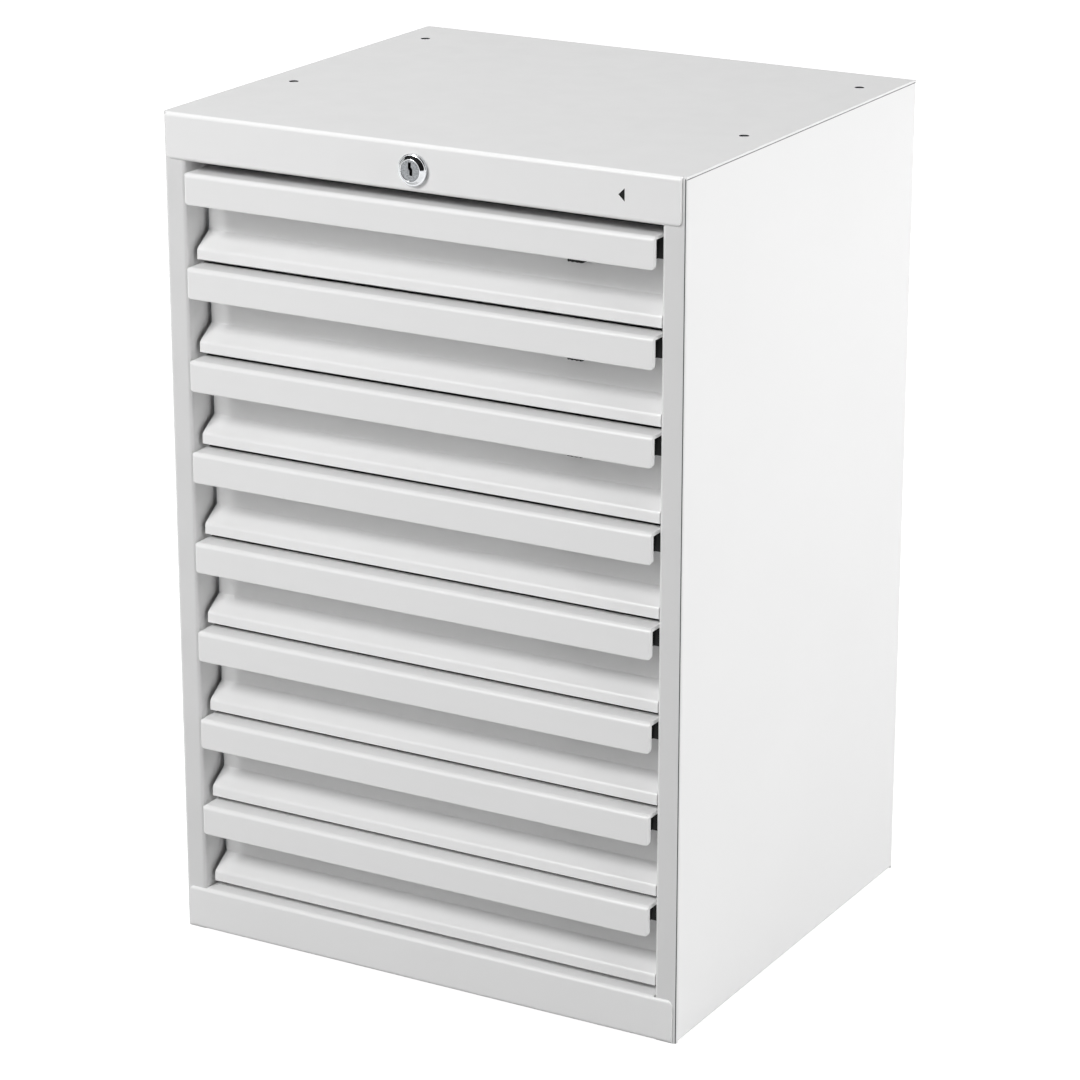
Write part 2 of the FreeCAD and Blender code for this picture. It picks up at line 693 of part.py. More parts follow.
def lock_rod():
    """Rod from the plug to the back, with its crank disc and pin."""
    x, z = crank_pin_place()
    rod = across(ROD_RADIUS, FRONT + LOCK_LENGTH, CRANK_FACE, 0, LOCK_AXIS)
    disc = across(CRANK_DISC_RADIUS, CRANK_FACE, CRANK_FACE + CRANK_DISC, 0, LOCK_AXIS)
    pin = across(CRANK_PIN_RADIUS, CRANK_FACE + CRANK_DISC, BAR_REAR + RUN_GAP, x, z)
    return joined([rod, disc, pin])


def rod_bracket():
    """Hanger under the top sheet that the rod's rear end turns in."""
    path = [
        (BRACKET_FACE + BRACKET_FLANGE, TOP_UNDER),
        (BRACKET_FACE, TOP_UNDER),
        (BRACKET_FACE, LOCK_AXIS - BRACKET_BELOW_AXIS),
    ]
    half = BRACKET_WIDTH / 2
    hanger = folded_sheet(path, CASE_SHEET, [0], in_side_view, V(-half, 0, 0), V(2 * half, 0, 0))
    hole = across(ROD_RADIUS + TURN_GAP, BRACKET_FACE, BRACKET_FACE + CASE_SHEET, 0, LOCK_AXIS)
    return hanger.cut(hole)


def lock_bar():
    """Sliding bar behind the drawers, hung on the crank pin by a slot in its head."""
    low = catch_bottom(DRAWERS) - BAR_TAIL
    high = LOCK_AXIS + BAR_HEAD_HALF
    strip = box(BAR_LEFT, BAR_RIGHT, BAR_FACE, BAR_REAR, low, high)
    head = box(BAR_LEFT, BAR_HEAD_RIGHT, BAR_FACE, BAR_REAR, LOCK_AXIS - BAR_HEAD_HALF, high)
    x, z = crank_pin_place()
    reach = CRANK_PIN_RADIUS + CRANK_SLOT_GAP
    slot = box(x - reach, CRANK_THROW + reach, BAR_FACE, BAR_REAR, z - reach, z + reach)
    return joined([strip, head]).cut(slot)


def lock_catches():
    """One catch for each drawer, welded to the bar's right edge."""
    catches = []
    right = BAR_RIGHT + CATCH_LENGTH
    for number in range(1, DRAWERS + 1):
        low = catch_bottom(number)
        catches.append(box(BAR_RIGHT, right, BAR_FACE, BAR_REAR, low, low + CATCH_HEIGHT))
    return catches


def bar_guides():
    """Straps on the back panel that keep the bar upright, beside the end catches."""
    left = BAR_LEFT - FIT_GAP - CASE_SHEET
    right = BAR_RIGHT + FIT_GAP + CASE_SHEET
    face = BAR_FACE - FIT_GAP - CASE_SHEET
    foot = BACK_INSIDE - CASE_SHEET
    path = [
        (left - GUIDE_FOOT, foot),
        (left, foot),
        (left, face),
        (right, face),
        (right, foot),
        (right + GUIDE_FOOT, foot),
    ]
    folds = [0] * 4
    guides = []
    for number in (1, DRAWERS):
        low = catch_bottom(number) + CATCH_HEIGHT + GUIDE_LIFT
        guides.append(folded_sheet(path, CASE_SHEET, folds, in_plan, V(0, 0, low), V(0, 0, GUIDE_HEIGHT)))
    return guides


def save(name, shapes):
    """Writes one sub-part, a single solid or a group of separate ones."""
    if not isinstance(shapes, list):
        shapes = [shapes]
    solids = [solid for shape in shapes for solid in shape.Solids]
    whole = solids[0] if len(solids) == 1 else Part.makeCompound(solids)
    whole.exportStep(os.path.join("parts", name + ".step"))


def build():
    os.makedirs("parts", exist_ok=True)
    left = side_panel()
    save("left_side_panel", left)
    save("right_side_panel", mirrored(left).cut(latch_slots()))
    save("top_panel", top_panel())
    save("kick_plate", kick_plate())
    save("back_panel", back_panel())
    save("floor_panel", floor_panel())
    save("rear_uprights", rear_uprights())
    rails = [case_rail(number) for number in range(1, DRAWERS + 1)]
    save("case_rails", rails + [mirrored(rail) for rail in rails])
    save("lock_housing", lock_housing())
    save("lock_nut", lock_nut())
    save("lock_plug", lock_plug())
    save("lock_rod", lock_rod())
    save("rod_bracket", rod_bracket())
    save("lock_bar", lock_bar())
    save("lock_catches", lock_catches())
    save("bar_guides", bar_guides())
    for number in range(1, DRAWERS + 1):
        name = "drawer_{}".format(number)
        save(name + "_front", drawer_front(number))
        save(name + "_tray", tray(number))
        save(name + "_fittings", drawer_fittings(number))
        cage = ball_cage(number)
        save("ball_cages_{}".format(number), [cage, mirrored(cage)])
        save("latch_{}".format(number), latch(number))


build()
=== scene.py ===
"""Dresses the van drawer cabinet: powder-coated steel case, eight drawers with black latches, ball
slides, and a chromed lock with its rod and bar. Lengths are in metres, X right, Y back, Z up."""

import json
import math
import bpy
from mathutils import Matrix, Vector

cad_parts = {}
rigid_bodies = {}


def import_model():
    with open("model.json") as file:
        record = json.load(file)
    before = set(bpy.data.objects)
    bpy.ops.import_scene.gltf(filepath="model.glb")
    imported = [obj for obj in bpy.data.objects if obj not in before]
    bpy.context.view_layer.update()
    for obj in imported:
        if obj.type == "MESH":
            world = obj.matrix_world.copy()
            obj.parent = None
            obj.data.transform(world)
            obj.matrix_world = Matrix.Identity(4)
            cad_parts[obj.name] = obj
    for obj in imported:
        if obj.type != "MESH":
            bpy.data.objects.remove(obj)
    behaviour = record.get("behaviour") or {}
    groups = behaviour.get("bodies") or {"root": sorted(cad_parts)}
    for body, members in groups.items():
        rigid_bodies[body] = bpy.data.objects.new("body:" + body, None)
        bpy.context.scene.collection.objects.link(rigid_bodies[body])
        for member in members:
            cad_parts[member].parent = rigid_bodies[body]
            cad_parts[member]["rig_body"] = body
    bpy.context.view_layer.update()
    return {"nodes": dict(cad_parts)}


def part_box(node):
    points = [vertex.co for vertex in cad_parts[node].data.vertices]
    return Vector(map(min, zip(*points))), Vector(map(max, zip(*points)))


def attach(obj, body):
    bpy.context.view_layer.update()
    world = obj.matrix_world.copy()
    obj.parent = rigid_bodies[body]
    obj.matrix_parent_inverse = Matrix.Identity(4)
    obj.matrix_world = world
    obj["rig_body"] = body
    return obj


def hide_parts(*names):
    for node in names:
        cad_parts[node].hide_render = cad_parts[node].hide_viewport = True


bl_info = {
    "name": "Van Drawer Cabinet",
    "version": (1, 0, 0),
    "blender": (4, 5, 0),
    "location": "View3D > Sidebar > Cabinet",
    "description": "Finishes a steel drawer cabinet and sets it on a pale studio floor",
    "category": "Object",
}

import bmesh
import bpy
from bpy.props import FloatProperty, FloatVectorProperty, IntProperty, PointerProperty
from mathutils import Vector

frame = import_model()

MM = 0.001
DRAWERS = range(1, 9)
CASE_NODES = ("left_side_panel", "right_side_panel", "top_panel", "kick_plate", "back_panel",
              "floor_panel", "rear_uprights")
PLATED_NODES = ("case_rails", "lock_rod", "rod_bracket", "lock_bar", "lock_catches", "bar_guides",
                "lock_nut")
WHITE = (1.0, 1.0, 1.0, 1.0)

# Corners closer than this are one, faces flatter than this are one face, and edges steeper than
# this are real edges, which are eased.
SAME_PLACE = 1e-6
FLAT_ANGLE = math.radians(0.5)
FOLD_ANGLE = math.radians(32)

# The turn that points an upright form to the front.
FORWARD = (math.radians(90), 0.0, 0.0)

# Nearly all values of a noise lie between these.
NOISE_LOW = 0.3
NOISE_HIGH = 0.7

# The folded sheets: thickness, outer radius of a fold, and how close to a side or an upper face
# a point still counts as on it.
SHEET = 1.5 * MM
FOLD_RADIUS = 3.0 * MM
SIDE_FACE = 0.4 * MM
UPPER_FACE = 0.7 * MM

# The painted shade on the walls of the top's holes: their depths under the face, and the field the
# holes lie in, as a margin from the sides and a half depth.
HOLE_WALL_START = 0.2 * MM
HOLE_WALL_END = 1.15 * MM
HOLE_MARGIN = 8 * MM
HOLE_FIELD = 165 * MM

# Painted shade lines in the gaps between the drawers: how far in front of the middle, and how wide.
PULL_LINE = 158.7 * MM
KICK_LINE = 157.0 * MM
LINE_HALF = 1.5 * MM
LINE_FADE = 0.5 * MM

# The spot welds: how far the upright rows lie from the sides and end before the floor and the top,
# how far the upper row lies under the top, a ring's height, and the welds in the upper row.
WELD_INSET = 9 * MM
WELD_MARGIN = 30 * MM
WELD_DROP = 8 * MM
WELD_PROUD = 0.12 * MM
TOP_WELDS = 6

# A latch's two shoulder screws, from its right end, its top and its back, and their forms.
SCREW_OFFSETS = (28.0 * MM, 58.0 * MM)
SCREW_DROP = 7.6 * MM
SCREW_SINK = 3.5 * MM
SHANK_LENGTH = 3.8 * MM
HEAD_HEIGHT = 1.2 * MM
HEAD_TAPER = 0.72

# The rows of balls, from the cage's outer face and from its edges.
BALL_DEPTH = 3.4 * MM
BALL_INSET = 0.35 * MM

# The lock: radii of its bore and of its neck behind the header, the ring's height on the header,
# and the lip, rim and cone of the ring's face.
LOCK_STEPS = 96
LOCK_BORE = 7.25 * MM
LOCK_NECK = 9.5 * MM
RING_DEPTH = 5.0 * MM
LIP_WIDTH = 0.6 * MM
RIM_WIDTH = 1.1 * MM
RIM_ROUND = 0.4 * MM
CONE_SLOPE = 1.14

# The keyway's jogged outline, across and up from the plug's middle in millimetres, and its depth.
KEYWAY = ((-1.65, 5.6), (-1.65, 0.9), (-0.55, 0.3), (-0.55, -3.4),
          (1.65, -3.4), (1.65, 1.5), (0.55, 2.1), (0.55, 5.6))
KEYWAY_DEPTH = 14.0 * MM

# The printed arrow: its tip across and up, its length as a share of its height, and half the
# print's thickness.
ARROW_TIP = (154.7 * MM, 593.5 * MM)
ARROW_LENGTH = 0.52
PRINT_HALF = 0.04 * MM

# The stage: half the floor's width, the black flag's upright edges and heights, the point that
# the lights face, and the width of the camera's sensor in millimetres.
FLOOR_HALF = 6
FLAG_LEFT = (1.05, -1.05)
FLAG_RIGHT = (1.5, -0.45)
FLAG_HEIGHTS = (0.6, 1.7)
LIGHT_TARGET = (0.0, 0.0, 0.3)
SENSOR_WIDTH = 36.0


def linear(code):
    """A #RRGGBB colour as the linear RGB that shaders take."""
    values = [int(code[i:i + 2], 16) / 255 for i in (1, 3, 5)]
    return [v / 12.92 if v <= 0.04045 else ((v + 0.055) / 1.055) ** 2.4 for v in values]


def colour_property(name, description, code):
    """A colour setting with its #RRGGBB default."""
    return FloatVectorProperty(name=name, description=description, subtype="COLOR", size=3,
                               min=0.0, max=1.0, default=linear(code))


def length_property(name, description, millimetres):
    """A length setting with its default in millimetres."""
    return FloatProperty(name=name, description=description, default=millimetres * MM, min=0.0,
                         precision=5, unit="LENGTH")


class CabinetFinish(bpy.types.PropertyGroup):
    """Colours of the finishes."""
    case_paint: colour_property("Case paint", "Powder coat of the case", "#F0F0F0")
    drawer_paint: colour_property("Drawer paint", "Powder coat of the drawers", "#EFEFEF")
    # Painted shade: the stiles' faces are coloured darker, where they read darker under the lights.
    painted_stile_shade: colour_property("Stiles", "Thinner coat on the faces of the stiles", "#DFDFDF")
    # Painted shade: a dark line along the front folds, and a dark joint under the top sheet's side
    # edges.
    seam: colour_property("Seam", "Bare line in the seams and on the case's front folds", "#434446")
    # Painted shade: the dark inside of the top's holes.
    hole_shade: colour_property("Holes", "Walls of the holes through the top sheet", "#26272A")
    # Painted shade: dark lines standing in for the shadow in the gaps between the drawers.
    gap: colour_property("Gap", "Line in the gaps between the drawers", "#2C2D2F")
    zinc: colour_property("Zinc", "Plating of the slides, hooks and bar", "#BCC0C4")
    chrome: colour_property("Chrome", "Ring of the lock", "#D8DADC")
    nickel: colour_property("Nickel", "Face of the lock's plug", "#A6A9AC")
    nylon: colour_property("Nylon", "Moulded latches", "#0E0F10")
    ink: colour_property("Ink", "Printed arrow on the header", "#121212")


class CabinetSizes(bpy.types.PropertyGroup):
    """Sizes of the small forms that the finish adds."""
    sheet_edge: length_property("Sheet edge", "Round on the edges of painted sheet", 0.3)
    moulded_edge: length_property("Moulded edge", "Round on the latches' edges", 0.35)
    lock_edge: length_property("Lock edge", "Round on the edges of the lock", 0.18)
    # Width of the painted shade line on the front folds and the top's side joints.
    seam: length_property("Seam", "Width of the darker line along seams and front folds", 0.8)
    ball: length_property("Ball", "Diameter of a slide's balls", 1.45)
    ball_pitch: length_property("Ball pitch", "From one ball to the next", 7.0)
    balls: IntProperty(name="Balls", description="Balls in each row of a cage", default=10, min=1)
    weld: length_property("Weld mark", "Diameter of a spot weld's ring", 5.0)
    weld_pitch: length_property("Weld pitch", "From one spot weld to the next", 60.0)
    screw_head: length_property("Screw head", "Diameter of a latch screw's head", 8.0)
    screw_shank: length_property("Screw shank", "Diameter of a latch screw's shoulder", 5.0)
    arrow: length_property("Arrow", "Height of the printed arrow", 8.8)


class CabinetStage(bpy.types.PropertyGroup):
    """Camera and lights."""
    camera_place: FloatVectorProperty(
        name="Camera", description="Where the camera stands", size=3,
        default=(1.3121, -2.3030, 1.1701), subtype="TRANSLATION", unit="LENGTH")
    azimuth: FloatProperty(
        name="Azimuth", description="Camera's turn round the cabinet",
        default=math.radians(29.74), subtype="ANGLE")
    elevation: FloatProperty(
        name="Elevation", description="Camera's height as an angle above the horizon",
        default=math.radians(18.53), subtype="ANGLE")
    lens: FloatProperty(
        name="Lens", description="Focal length in millimetres on a 36 mm sensor",
        default=128.24, min=1.0)
    even_light: FloatProperty(
        name="Even light", description="Strength of the light from all round",
        default=0.03, min=0.0)


def add_node(tree, kind, links=None, values=None, **settings):
    """Adds a node, sets its properties and socket values, and links its inputs."""
    node = tree.nodes.new(kind)
    for name, value in settings.items():
        setattr(node, name, value)
    for socket, value in (values or {}).items():
        node.inputs[socket].default_value = value
    for socket, source in (links or {}).items():
        tree.links.new(source, node.inputs[socket])
    return node


def new_material(name):
    """A material with an empty tree and its Object coordinates; no tree where it exists already."""
    if name in bpy.data.materials:
        return bpy.data.materials[name], None, None
    material = bpy.data.materials.new(name)
    material.use_nodes = True
    tree = material.node_tree
    tree.nodes.clear()
    return material, tree, add_node(tree, "ShaderNodeTexCoord").outputs["Object"]


def noise(tree, place, scale, detail=2.0, stretch=None):
    """Noise with its scale in cycles for each metre, drawn out along an axis by stretch."""
    if stretch:
        mapped = add_node(tree, "ShaderNodeMapping", {"Vector": place}, {"Scale": stretch})
        place = mapped.outputs["Vector"]
    values = {"Scale": scale, "Detail": detail}
    return add_node(tree, "ShaderNodeTexNoise", {"Vector": place}, values).outputs["Fac"]


def between(tree, factor, low, high, start=NOISE_LOW, end=NOISE_HIGH):
    """A number that runs from low to high as the factor runs from start to end."""
    limits = {"From Min": start, "From Max": end, "To Min": low, "To Max": high}
    return add_node(tree, "ShaderNodeMapRange", {"Value": factor}, limits).outputs["Result"]


def clouded(tree, factor, colour, darker):
    """A colour that drops by the share darker where the noise is high."""
    ramp = add_node(tree, "ShaderNodeValToRGB", {"Fac": factor})
    low, high = ramp.color_ramp.elements
    low.position = NOISE_LOW
    low.color = (*colour, 1.0)
    high.position = NOISE_HIGH
    high.color = (*[value * (1 - darker) for value in colour], 1.0)
    return ramp.outputs["Color"]


def surface(tree, links, values):
    """The Principled shader and the output of a material."""
    shader = add_node(tree, "ShaderNodeBsdfPrincipled", links, values)
    add_node(tree, "ShaderNodeOutputMaterial", {"Surface": shader.outputs["BSDF"]})


def bumped(tree, height, strength, distance):
    """A normal that follows a height, of which the full range is the distance."""
    values = {"Strength": strength, "Distance": distance}
    return add_node(tree, "ShaderNodeBump", {"Height": height}, values).outputs["Normal"]


def arithmetic(tree, operation, first, second=None):
    """One Math node; each term is an output or a number."""
    made = add_node(tree, "ShaderNodeMath", operation=operation)
    for socket, term in zip(made.inputs, (first, second)):
        if term is None:
            continue
        if isinstance(term, (int, float)):
            socket.default_value = term
        else:
            tree.links.new(term, socket)
    return made.outputs["Value"]


def axes(tree, place):
    """The X, Y and Z outputs of a place."""
    return add_node(tree, "ShaderNodeSeparateXYZ", {"Vector": place}).outputs


def seam_and_fold_shade_line(tree, place, width):
    """1 along the case's front vertical folds and under the top sheet's side edges, else 0: the
    place of a painted dark line, shade on the folds and a dark joint under the top. Its edges fade,
    so that it reads as a soft thin line."""
    low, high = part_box("right_side_panel")
    parts = axes(tree, place)
    x = arithmetic(tree, "ABSOLUTE", parts["X"])
    diagonal = math.sqrt(2)
    fold = FOLD_RADIUS * (2 - diagonal) / 2
    across = arithmetic(tree, "ADD", x, parts["Y"])
    off_fold = arithmetic(tree, "ABSOLUTE", arithmetic(tree, "SUBTRACT", across, high.x + low.y))
    on_fold = between(tree, off_fold, low=1.0, high=0.0,
                      start=0.35 * width * diagonal, end=0.6 * width * diagonal)
    outer = arithmetic(tree, "GREATER_THAN", x, high.x - fold - 0.8 * SHEET)
    front = arithmetic(tree, "MULTIPLY", on_fold, outer)
    under_top = between(tree, parts["Z"], low=0.0, high=1.0,
                        start=high.z - width, end=high.z - 0.5 * width)
    side = arithmetic(tree, "GREATER_THAN", x, high.x - SIDE_FACE)
    top = arithmetic(tree, "MULTIPLY", under_top, side)
    return arithmetic(tree, "MAXIMUM", front, top)


def over(tree, factor, under, colour):
    """A plain colour laid over another where the factor is 1."""
    both = add_node(tree, "ShaderNodeMix", {"Factor": factor}, data_type="RGBA")
    sockets = [socket for socket in both.inputs if socket.type == "RGBA"]
    tree.links.new(under, sockets[0])
    sockets[1].default_value = (*colour, 1.0)
    return [socket for socket in both.outputs if socket.type == "RGBA"][0]


def side_painted_shade(tree, place, shade):
    """Painted shade: darker faces on the stiles, and a dark line along the front folds."""
    finish = bpy.context.scene.cabinet_finish
    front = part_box("right_side_panel")[0].y
    # The stile faces take the painted shade colour.
    stile_shade_mask = between(tree, axes(tree, place)["Y"], low=1.0, high=0.0,
                       start=front + 0.2 * SHEET, end=front + 0.8 * SHEET)
    shade = over(tree, stile_shade_mask, shade, finish.painted_stile_shade)
    # Painted shade line along the front folds, and a dark joint under the top's side edges.
    line = seam_and_fold_shade_line(tree, place, bpy.context.scene.cabinet_sizes.seam)
    return over(tree, line, shade, finish.seam)


def hole_wall_shade(tree, place, shade):
    """Painted shade on the walls of the top sheet's holes, so that the holes read as dark dots."""
    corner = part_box("top_panel")[1]
    parts = axes(tree, place)
    below = arithmetic(tree, "LESS_THAN", parts["Z"], corner.z - HOLE_WALL_START)
    above = arithmetic(tree, "GREATER_THAN", parts["Z"], corner.z - HOLE_WALL_END)
    inside = arithmetic(tree, "MULTIPLY", below, above)
    for axis, limit in (("X", corner.x - HOLE_MARGIN), ("Y", HOLE_FIELD)):
        near = arithmetic(tree, "LESS_THAN", arithmetic(tree, "ABSOLUTE", parts[axis]), limit)
        inside = arithmetic(tree, "MULTIPLY", inside, near)
    return over(tree, inside, shade, bpy.context.scene.cabinet_finish.hole_shade)


def gap_shade_line(tree, place, shade, on_top, forward):
    """A dark line of painted shade across upper faces, in front of their rear fold, for the shadow
    in the gaps between the drawers. Forward is how far the line lies in front of the middle."""
    off_line = arithmetic(tree, "ADD", axes(tree, place)["Y"], forward)
    line = between(tree, arithmetic(tree, "ABSOLUTE", off_line), low=1.0, high=0.0,
                   start=LINE_HALF, end=LINE_HALF + LINE_FADE)
    marked = arithmetic(tree, "MULTIPLY", on_top, line)
    return over(tree, marked, shade, bpy.context.scene.cabinet_finish.gap)


def pull_gap_shade(tree, place, shade):
    """The painted shade line on the pulls' tops, but for the first: the wider opening there is dark
    by its shadow.
    """
    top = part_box("drawer_1_front")[1].z
    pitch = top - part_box("drawer_2_front")[1].z
    height = axes(tree, place)["Z"]
    from_top = arithmetic(tree, "PINGPONG", arithmetic(tree, "SUBTRACT", height, top), pitch / 2)
    on_top = arithmetic(tree, "LESS_THAN", from_top, UPPER_FACE)
    lower = arithmetic(tree, "LESS_THAN", height, top - pitch / 2)
    return gap_shade_line(tree, place, shade, arithmetic(tree, "MULTIPLY", on_top, lower), PULL_LINE)


def kick_gap_shade(tree, place, shade):
    """The painted shade line on the kick plate's shelf, under the lowest drawer."""
    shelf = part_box("kick_plate")[1].z
    on_shelf = arithmetic(tree, "GREATER_THAN", axes(tree, place)["Z"], shelf - UPPER_FACE)
    return gap_shade_line(tree, place, shade, on_shelf, KICK_LINE)


def powder_coat(name, colour, marks=None):
    """Baked polyester powder on steel, semi-gloss white: the eye sees soft reflections, a faint
    orange peel with bumps about 2.5 mm apart, and edges that catch a thin highlight. The marks
    function lays painted shade over the coat."""
    material, tree, place = new_material(name)
    if tree is None:
        return material
    shade = clouded(tree, noise(tree, place, scale=9.0), colour, darker=0.012)
    if marks:
        shade = marks(tree, place, shade)
    surface(tree, {
        "Base Color": shade,
        "Roughness": between(tree, noise(tree, place, scale=55.0), low=0.235, high=0.265),
        "Normal": bumped(tree, noise(tree, place, scale=400.0, detail=1.0),
                         strength=0.2, distance=0.06 * MM),
    }, {"IOR": 1.5, "Specular IOR Level": 0.3})
    return material


def case_coat(node=""):
    """The coat of a CAD node of the case, or of a small piece on it."""
    paint = bpy.context.scene.cabinet_finish.case_paint
    if node == "top_panel":
        # The top carries painted shade on its holes' walls.
        return powder_coat("white_powder_coat_top_hole_shade", paint, hole_wall_shade)
    if node.endswith("side_panel"):
        # The sides carry painted shade on the stiles and along the front folds.
        return powder_coat("white_powder_coat_sides_painted_shade", paint, side_painted_shade)
    if node == "kick_plate":
        # The kick plate carries a painted shade line on its shelf.
        return powder_coat("white_powder_coat_kick_gap_shade", paint, kick_gap_shade)
    return powder_coat("white_powder_coat_case", paint)


def drawer_coat(node):
    """The coat of a drawer's front or tray."""
    paint = bpy.context.scene.cabinet_finish.drawer_paint
    if node.endswith("front"):
        # The fronts carry painted shade lines on the pulls' tops.
        return powder_coat("white_powder_coat_fronts_gap_shade", paint, pull_gap_shade)
    return powder_coat("white_powder_coat_drawers", paint)


def bright_zinc():
    """Bright zinc on rolled steel: grey with a cool cast, fine drawn lines along the depth and
    cloudy patches about 15 mm across where the plating is duller."""
    material, tree, place = new_material("bright_zinc_plate")
    if tree is None:
        return material
    cloud = noise(tree, place, scale=70.0, detail=4.0)
    lines = noise(tree, place, scale=1400.0, detail=3.0, stretch=(1.0, 0.04, 1.0))
    surface(tree, {
        "Base Color": clouded(tree, cloud, bpy.context.scene.cabinet_finish.zinc, darker=0.22),
        "Roughness": between(tree, cloud, low=0.28, high=0.42),
        "Normal": bumped(tree, lines, strength=0.2, distance=0.03 * MM),
    }, {"Metallic": 1.0})
    return material


def ball_steel():
    """Hardened chrome-steel balls, lapped to a mirror, with a film of grease that dulls patches."""
    material, tree, place = new_material("lapped_ball_steel")
    if tree is None:
        return material
    film = noise(tree, place, scale=500.0)
    surface(tree, {
        "Base Color": clouded(tree, film, bpy.context.scene.cabinet_finish.chrome, darker=0.25),
        "Roughness": between(tree, film, low=0.08, high=0.25),
    }, {"Metallic": 1.0})
    return material


def polished_chrome():
    """Bright chrome on a die-cast housing: a near mirror with faint haze in patches of 4 mm."""
    material, tree, place = new_material("polished_chrome")
    if tree is None:
        return material
    haze = noise(tree, place, scale=260.0, detail=4.0)
    surface(tree, {
        "Base Color": clouded(tree, haze, bpy.context.scene.cabinet_finish.chrome, darker=0.1),
        "Roughness": between(tree, haze, low=0.06, high=0.12),
    }, {"Metallic": 1.0})
    return material


def brushed_nickel():
    """Nickel face of the turning plug: brushed upright in lines of about 0.3 mm, duller than the
    ring round it, with darker rubbed patches of about 1 mm."""
    material, tree, place = new_material("brushed_nickel")
    if tree is None:
        return material
    lines = noise(tree, place, scale=3200.0, detail=3.0, stretch=(1.0, 1.0, 0.06))
    rubbed = noise(tree, place, scale=900.0, detail=4.0)
    surface(tree, {
        "Base Color": clouded(tree, rubbed, bpy.context.scene.cabinet_finish.nickel, darker=0.55),
        "Roughness": between(tree, lines, low=0.22, high=0.36),
        "Normal": bumped(tree, lines, strength=0.3, distance=0.03 * MM),
    }, {"Metallic": 1.0})
    return material


def moulded_nylon():
    """Black glass-filled nylon from a spark-eroded mould: deep black with a dull sheen and a fine
    grain of about 0.7 mm, drawn coarser than the real one so that it shows."""
    material, tree, place = new_material("black_moulded_nylon")
    if tree is None:
        return material
    cloud = noise(tree, place, scale=90.0)
    grain = noise(tree, place, scale=1400.0)
    surface(tree, {
        "Base Color": clouded(tree, cloud, bpy.context.scene.cabinet_finish.nylon, darker=0.3),
        "Roughness": between(tree, grain, low=0.4, high=0.56),
        "Normal": bumped(tree, grain, strength=0.35, distance=0.06 * MM),
    }, {"IOR": 1.53, "Specular IOR Level": 0.22})
    return material


def printed_ink():
    """Screen-printed ink: matt black, a little thinner in spots of about 1 mm."""
    material, tree, place = new_material("black_print")
    if tree is None:
        return material
    cover = noise(tree, place, scale=900.0, detail=3.0)
    surface(tree, {
        "Base Color": clouded(tree, cover, bpy.context.scene.cabinet_finish.ink, darker=0.4),
        "Roughness": between(tree, cover, low=0.5, high=0.62),
    }, {"IOR": 1.5, "Specular IOR Level": 0.2})
    return material


def studio_white():
    """Matt pale sweep. Seen by the camera or in a mirror it is lifted to plain white, less so near
    the cabinet, whose shadow stays visible on it."""
    material, tree, place = new_material("studio_white")
    if tree is None:
        return material
    grey = clouded(tree, noise(tree, place, scale=3.0), linear("#A8A8A8"), darker=0.02)
    paint = add_node(tree, "ShaderNodeBsdfDiffuse", {"Color": grey})
    away = add_node(tree, "ShaderNodeVectorMath", {"Vector": place}, operation="LENGTH")
    lift = between(tree, away.outputs["Value"], low=0.8, high=1.0, start=0.6, end=1.8)
    glow = add_node(tree, "ShaderNodeEmission", {"Strength": lift}, {"Color": WHITE})
    lifted = add_node(tree, "ShaderNodeAddShader")
    tree.links.new(paint.outputs["BSDF"], lifted.inputs[0])
    tree.links.new(glow.outputs["Emission"], lifted.inputs[1])
    mix = add_node(tree, "ShaderNodeMixShader", {"Fac": seen_directly(tree)})
    tree.links.new(paint.outputs["BSDF"], mix.inputs[1])
    tree.links.new(lifted.outputs["Shader"], mix.inputs[2])
    add_node(tree, "ShaderNodeOutputMaterial", {"Surface": mix.outputs["Shader"]})
    return material


def seen_directly(tree):
    """1 for camera, glossy and transmission rays."""
    path = add_node(tree, "ShaderNodeLightPath").outputs
    mirrored = arithmetic(tree, "MAXIMUM", path["Is Glossy Ray"], path["Is Transmission Ray"])
    return arithmetic(tree, "MAXIMUM", path["Is Camera Ray"], mirrored)


def black_flag():
    """Black velvet on a frame, which gives the lock's ring its dark reflection."""
    material, tree, place = new_material("black_velvet")
    if tree is None:
        return material
    nap = noise(tree, place, scale=300.0)
    black = clouded(tree, nap, linear("#060606"), darker=0.5)
    surface(tree, {"Base Color": black}, {"Roughness": 1.0})
    return material


def body_of(node):
    """The body that a CAD node rides on."""
    return frame["nodes"][node]["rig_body"]


def new_piece(name, work, materials):
    """A piece from a bmesh, which is freed."""
    mesh = bpy.data.meshes.new(name)
    work.to_mesh(mesh)
    work.free()
    for material in materials:
        mesh.materials.append(material)
    piece = bpy.data.objects.new(name, mesh)
    bpy.context.scene.collection.objects.link(piece)
    return piece


def cleaned(node):
    """A copy of a CAD mesh with its loose triangles joined and the lines inside flat faces gone."""
    work = bmesh.new()
    work.from_mesh(frame["nodes"][node].data)
    bmesh.ops.remove_doubles(work, verts=work.verts, dist=SAME_PLACE)
    bmesh.ops.dissolve_limit(work, angle_limit=FLAT_ANGLE, verts=work.verts, edges=work.edges)
    return work


def smoothed(work):
    """Smooth faces with a sharp line at each real edge."""
    for face in work.faces:
        face.smooth = True
    for edge in work.edges:
        edge.smooth = len(edge.link_faces) == 2 and edge.calc_face_angle(0.0) < FOLD_ANGLE
    return work


def applied(piece):
    """Turns the piece's modifiers into plain mesh."""
    graph = bpy.context.evaluated_depsgraph_get()
    mesh = bpy.data.meshes.new_from_object(piece.evaluated_get(graph),
                                           preserve_all_data_layers=True, depsgraph=graph)
    old = piece.data
    piece.modifiers.clear()
    piece.data = mesh
    bpy.data.meshes.remove(old)
    mesh.name = piece.name
    return piece


